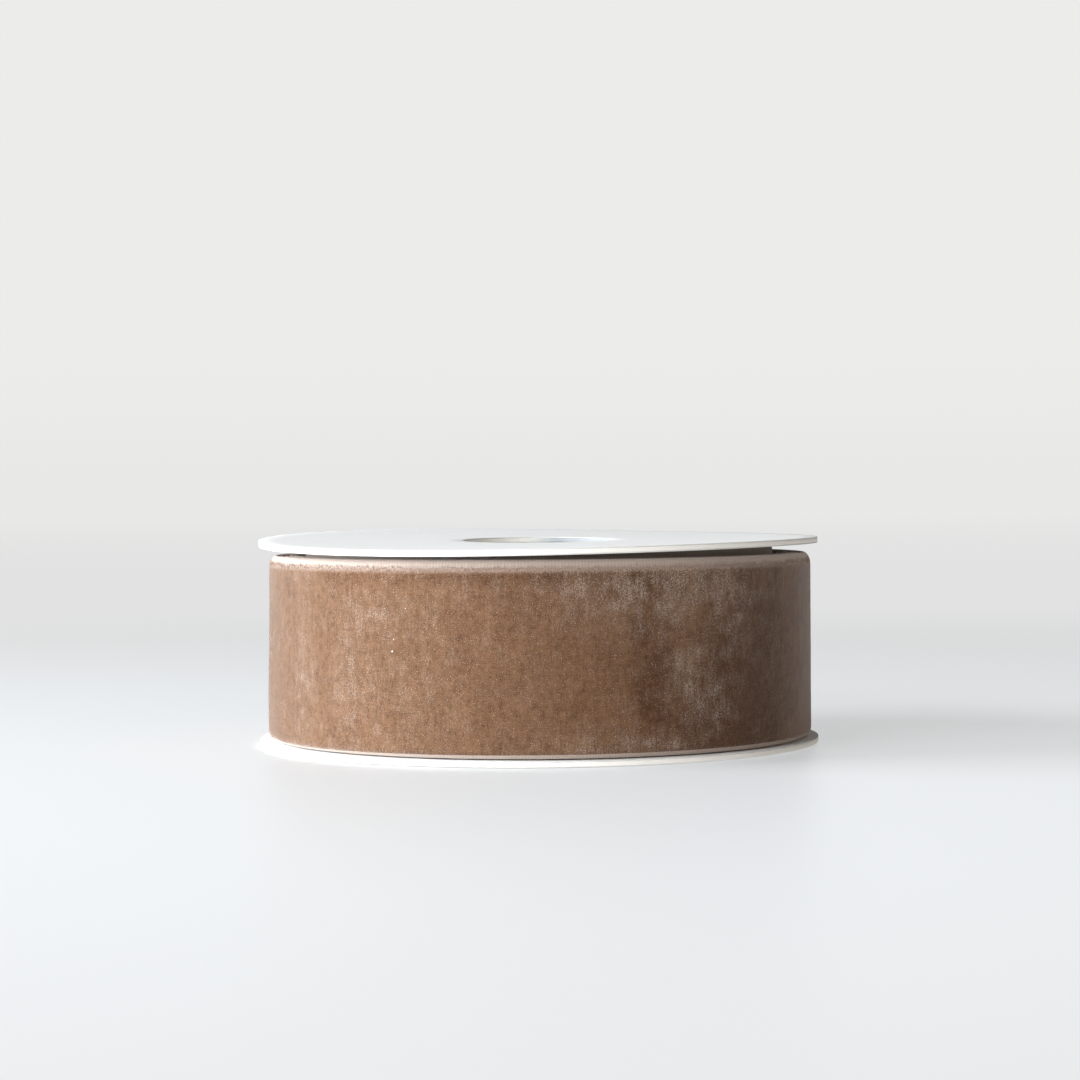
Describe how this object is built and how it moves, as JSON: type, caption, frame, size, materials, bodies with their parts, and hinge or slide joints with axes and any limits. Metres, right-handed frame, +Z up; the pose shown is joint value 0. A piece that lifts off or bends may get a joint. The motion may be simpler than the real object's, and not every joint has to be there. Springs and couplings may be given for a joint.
{
  "type": "ribbon spool",
  "caption": "Flat spool of wide velvet ribbon: two round card flanges on a wound paper core, with a taped tail that lifts to unwind.",
  "frame": {"origin": "middle of the spool's underside, on its axis", "axes": "+Z up along the spool's axis, +X to the right and -Y towards the viewer of the side that faces away from the tail"},
  "size_m": [0.1168, 0.1168, 0.0439],
  "materials": {
    "flange_paper": "smooth white lining paper, matt",
    "flange_board": "pale pulp board with a plain cut edge",
    "core_board": "pale grey spiral-wound tube paper, matt",
    "dried_glue": "dried white glue",
    "clear_tape": "clear adhesive film",
    "velvet": "mocha velvet with a brushed pile and ribbed woven selvedges"
  },
  "bodies": {
    "spool": {"lower_flange_outer_paper": "flange_paper", "lower_flange_board": "flange_board", "lower_flange_inner_paper": "flange_paper", "upper_flange_inner_paper": "flange_paper", "upper_flange_board": "flange_board", "upper_flange_outer_paper": "flange_paper", "core_inner_ply": "core_board", "core_middle_ply": "core_board", "core_outer_ply": "core_board", "lower_glue_ring": "dried_glue", "upper_glue_ring": "dried_glue", "starter_tape": "clear_tape", "ribbon_inner_turns": "velvet", "ribbon_outer_turns": "velvet", "ribbon_last_turn": "velvet"},
    "tail": {"ribbon_tail": "velvet", "tail_tape": "clear_tape"}
  },
  "joints": [
    {"name": "tail_lift", "type": "hinge", "parent": "spool", "child": "tail", "pos_m": [-0.00993, 0.05633, 0.02049], "axis": [0, 0, -1], "range_deg": [0, 60]}
  ]
}
